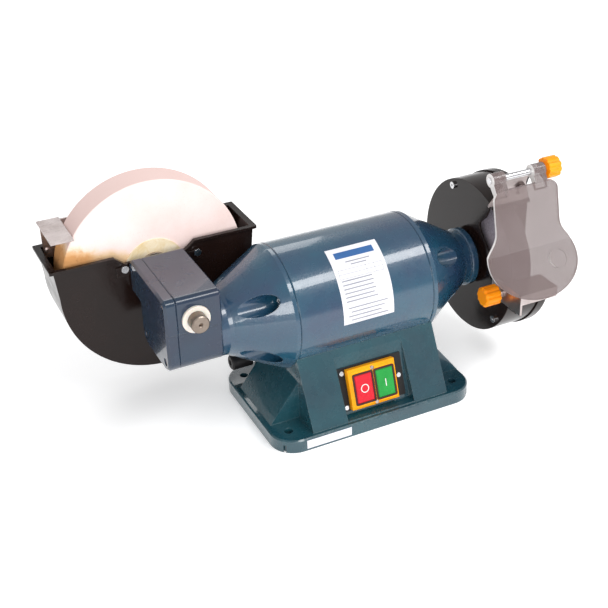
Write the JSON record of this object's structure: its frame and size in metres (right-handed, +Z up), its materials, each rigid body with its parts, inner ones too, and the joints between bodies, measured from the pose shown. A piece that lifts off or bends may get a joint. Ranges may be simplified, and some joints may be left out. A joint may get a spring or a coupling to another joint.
{
  "type": "bench grinder",
  "caption": "Bench grinder with a guarded dry wheel on the motor shaft and a slow wet stone in a water trough on a worm gearbox, push-button switch and eye shield.",
  "frame": {"origin": "underside of the base, straight below the motor axis and midway between the motor shell's two seams", "axes": "+X along the motor shaft from the wet wheel to the dry wheel, +Y to the back, +Z up"},
  "size_m": [0.5325, 0.2615, 0.2545],
  "materials": {
    "painted_base": "hammered teal-grey enamel on a casting",
    "plate_steel": "black painted sheet",
    "zinc": "zinc-plated steel",
    "capacitor_can": "drawn can",
    "black_plastic": "moulded black plastic",
    "white_sticker": "blank printed film",
    "yellow_plastic": "moulded yellow plastic",
    "red_plastic": "moulded red plastic",
    "green_plastic": "moulded green plastic",
    "black_rubber": "moulded rubber",
    "blue_paint": "gloss blue enamel",
    "gearbox_paint": "dark blue-grey enamel",
    "lamination_steel": "stacked laminations",
    "copper_wire": "enamelled copper wire",
    "bearing_steel": "ground steel",
    "bronze": "cast bronze",
    "white_nylon": "nylon",
    "blotter_card": "card blotter",
    "white_stone": "fine vitrified abrasive",
    "grey_stone": "coarse vitrified abrasive",
    "black_paint": "gloss black enamel on sheet steel",
    "orange_plastic": "moulded orange plastic",
    "chrome_rod": "bright plated rod",
    "smoked_pane": "smoked clear polycarbonate"
  },
  "bodies": {
    "frame": {"arrestor_bolt": "zinc", "base_bottom_plate": "plate_steel", "base_casting": "painted_base", "bottom_plate_screws": "zinc", "button_seals": "black_rubber", "cable_gland": "black_plastic", "end_bell_screws": "zinc", "foot_sticker": "white_sticker", "gearbox_cover": "gearbox_paint", "gearbox_cover_screws": "zinc", "gearbox_housing": "gearbox_paint", "guard_inner_plate": "black_paint", "guard_outer_cover": "black_paint", "guard_screws": "zinc", "left_bearing": "bearing_steel", "left_end_bell": "blue_paint", "motor_shell": "blue_paint", "rating_label": "white_sticker", "right_bearing": "bearing_steel", "right_end_bell": "blue_paint", "saddle_bolts": "zinc", "spindle_front_bush": "white_nylon", "spindle_rear_bush": "bronze", "start_capacitor": "capacitor_can", "stator_core": "lamination_steel", "stator_windings": "copper_wire", "switch_contact_block": "black_plastic", "switch_housing": "yellow_plastic", "switch_housing_screws": "zinc", "switch_plate": "black_plastic", "switch_plate_screws": "zinc", "tool_rest_bolt": "zinc", "trough_bracket": "black_paint", "trough_screws": "zinc", "water_trough": "black_paint", "wet_rest_screws": "zinc", "wet_tool_rest": "zinc"},
    "rotor": {"rotor_core": "lamination_steel", "motor_shaft": "bearing_steel", "worm": "bearing_steel", "dry_inner_flange": "zinc", "dry_wheel": "grey_stone", "dry_outer_flange": "zinc", "dry_wheel_nut": "zinc"},
    "wet_drive": {"worm_wheel": "bronze", "wet_spindle": "bearing_steel", "wet_inner_flange": "zinc", "wet_blotters": "blotter_card", "wet_wheel": "white_stone", "wet_outer_flange": "zinc", "wet_wheel_nut": "zinc"},
    "stop_button": {"stop_button": "red_plastic"},
    "start_button": {"start_button": "green_plastic"},
    "dry_tool_rest": {"dry_tool_rest": "zinc"},
    "tool_rest_knob": {"tool_rest_knob": "orange_plastic"},
    "arrestor": {"spark_arrestor": "zinc", "shield_rod": "chrome_rod"},
    "eye_shield": {"eye_shield": "smoked_pane"},
    "shield_knob": {"shield_knob": "orange_plastic"}
  },
  "joints": [
    {"name": "motor_spin", "type": "hinge", "parent": "frame", "child": "rotor", "pos_m": [0, 0, 0.12], "axis": [1, 0, 0], "continuous": true},
    {"name": "wet_spin", "type": "hinge", "parent": "frame", "child": "wet_drive", "pos_m": [-0.18, 0, 0.1545], "axis": [0, 1, 0], "continuous": true},
    {"name": "stop_button_press", "type": "slide", "parent": "frame", "child": "stop_button", "axis": [0, 0.9511, -0.309], "range_m": [0, 0.0025], "stiffness_N_per_m": 800},
    {"name": "start_button_press", "type": "slide", "parent": "frame", "child": "start_button", "axis": [0, 0.9511, -0.309], "range_m": [0, 0.0025], "stiffness_N_per_m": 800},
    {"name": "tool_rest_slide", "type": "slide", "parent": "frame", "child": "dry_tool_rest", "axis": [0, -1, 0], "range_m": [-0.001, 0.008]},
    {"name": "tool_rest_knob_turn", "type": "hinge", "parent": "frame", "child": "tool_rest_knob", "pos_m": [0.14, -0.071, 0.106], "axis": [1, 0, 0], "range_deg": [0, 360]},
    {"name": "arrestor_slide", "type": "slide", "parent": "frame", "child": "arrestor", "axis": [0, -0.342, 0.9397], "range_m": [-0.001, 0.0076]},
    {"name": "shield_tilt", "type": "hinge", "parent": "arrestor", "child": "eye_shield", "pos_m": [0.183, -0.06058, 0.23762], "axis": [1, 0, 0], "range_deg": [-80, 1]},
    {"name": "shield_knob_turn", "type": "hinge", "parent": "arrestor", "child": "shield_knob", "pos_m": [0.22, -0.06058, 0.23762], "axis": [1, 0, 0], "range_deg": [0, 360]}
  ],
  "couplings": [
    {"joint": "wet_spin", "follows": "motor_spin", "ratio": 0.045455}
  ]
}
